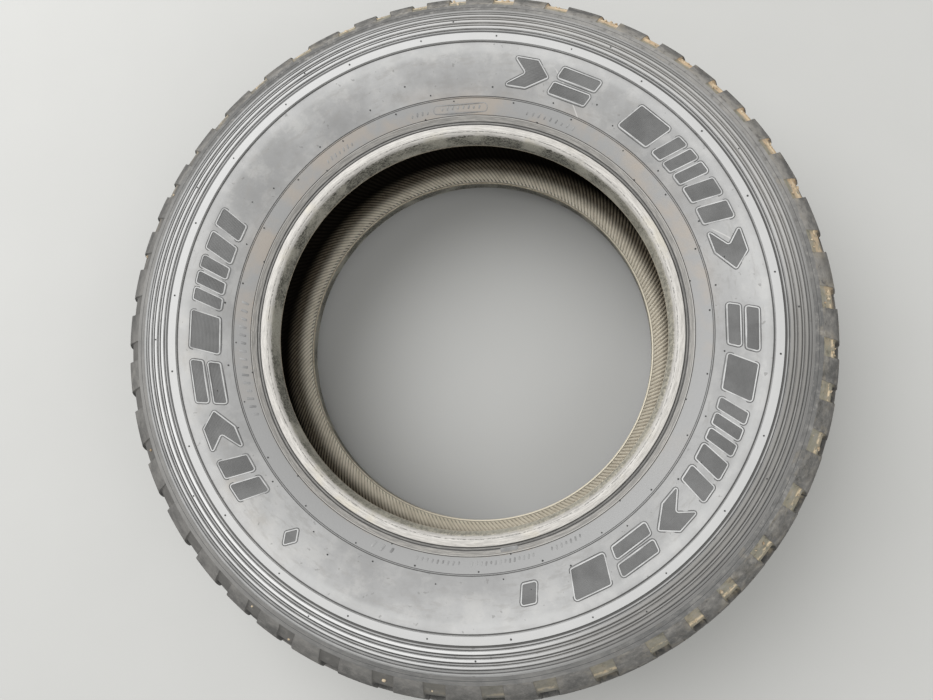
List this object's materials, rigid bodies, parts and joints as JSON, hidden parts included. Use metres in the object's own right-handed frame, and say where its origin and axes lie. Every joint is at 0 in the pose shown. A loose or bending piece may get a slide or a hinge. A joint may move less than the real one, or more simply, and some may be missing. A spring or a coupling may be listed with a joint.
{
  "type": "all-terrain tyre",
  "caption": "Radial all-terrain tyre for a 4x4, laid flat, with ribbed raised-band sidewalls, notched shoulder lugs and steel-belted casing around an open rim hole.",
  "frame": {"origin": "centre of the tyre: on its spin axis, in its middle plane", "axes": "+Z along the spin axis towards the outboard sidewall, which faces up as the tyre lies flat; +X and +Y lie in the middle plane"},
  "size_m": [0.7994, 0.7994, 0.248],
  "materials": {
    "liner_rubber": "dusty brown-grey butyl with fine slanted ridges",
    "polyester_cord": "rubber-coated cord",
    "bead_wire": "bronzed wire bundle",
    "filler_rubber": "hard matt rubber",
    "cushion_rubber": "scuffed, polished pale where it sat on the rim",
    "sidewall_rubber": "dusty grey rubber with brown stains",
    "wing_rubber": "smooth grey rubber",
    "steel_cord": "rubber-coated steel cord",
    "nylon_cord": "rubber-coated cord",
    "base_rubber": "matt black",
    "tread_rubber": "worn matt rubber with dried clay in the grooves"
  },
  "bodies": {
    "root": {"inner_liner": "liner_rubber", "body_ply_first": "polyester_cord", "body_ply_second": "polyester_cord", "bead_core_outboard": "bead_wire", "bead_core_inboard": "bead_wire", "bead_filler_outboard": "filler_rubber", "bead_filler_inboard": "filler_rubber", "rim_cushion_outboard": "cushion_rubber", "rim_cushion_inboard": "cushion_rubber", "sidewall_outboard": "sidewall_rubber", "sidewall_inboard": "sidewall_rubber", "tread_wing_outboard": "wing_rubber", "tread_wing_inboard": "wing_rubber", "belt_wedge_outboard": "filler_rubber", "belt_wedge_inboard": "filler_rubber", "steel_belt_first": "steel_cord", "steel_belt_second": "steel_cord", "cap_ply": "nylon_cord", "tread_base": "base_rubber", "tread_cap": "tread_rubber"}
  },
  "joints": []
}
